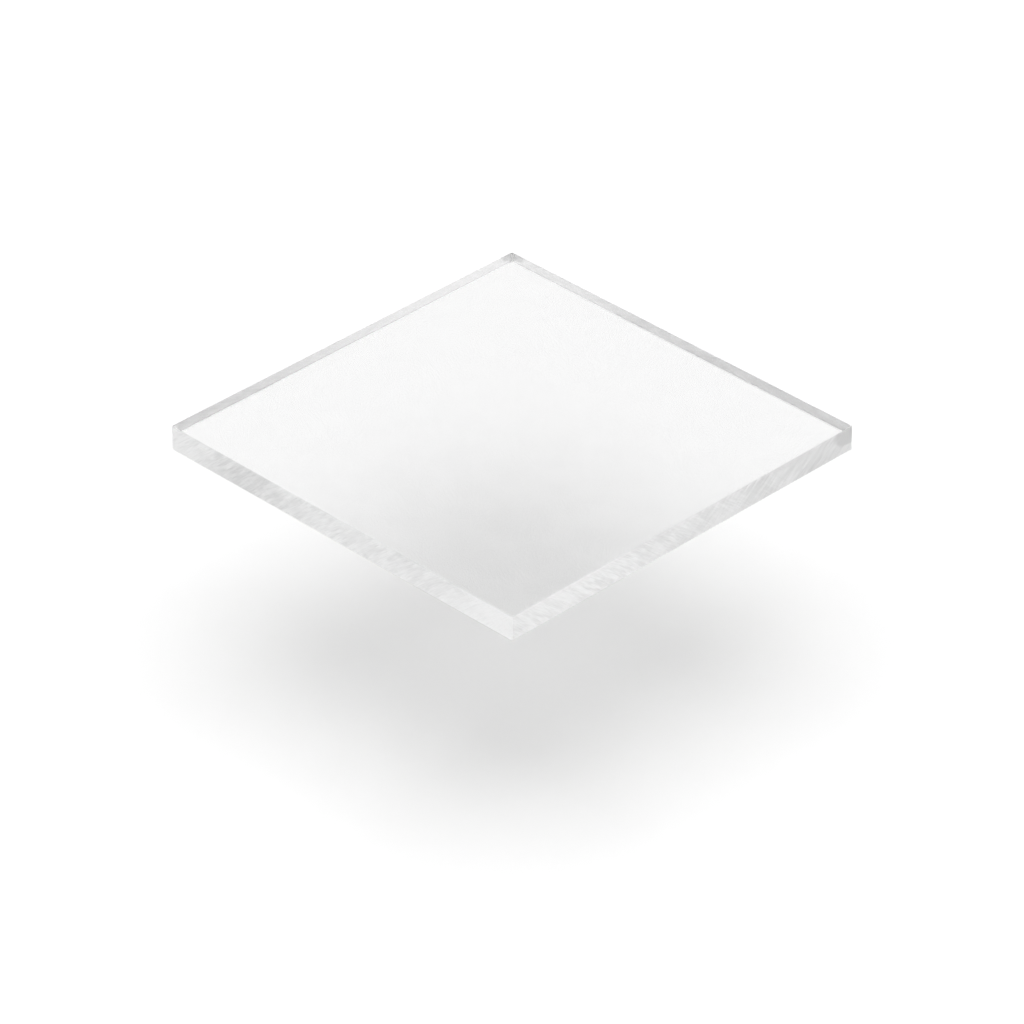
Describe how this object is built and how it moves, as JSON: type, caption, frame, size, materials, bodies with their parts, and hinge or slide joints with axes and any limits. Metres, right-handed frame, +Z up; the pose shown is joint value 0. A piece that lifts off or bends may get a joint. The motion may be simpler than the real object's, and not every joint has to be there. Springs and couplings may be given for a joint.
{
  "type": "frosted acrylic sheet",
  "caption": "Square cut piece of cast acrylic sheet, clear and glossy on top, frosted satin underneath, with sawn edges and scraped arrises; a glazing, shelf or light diffuser panel.",
  "frame": {"origin": "middle of the frosted underside, which the sheet lies on", "axes": "+Z up through the thickness, out of the glossy face; +X and +Y along the two pairs of sawn edges"},
  "size_m": [0.1, 0.1, 0.0058],
  "materials": {
    "frosted_acrylic": "clear cast acrylic, gloss on the top face, satin frosted on the underside, sawn with fine slanting blade marks on the four edges"
  },
  "bodies": {
    "root": {"acrylic_sheet": "frosted_acrylic"}
  },
  "joints": []
}
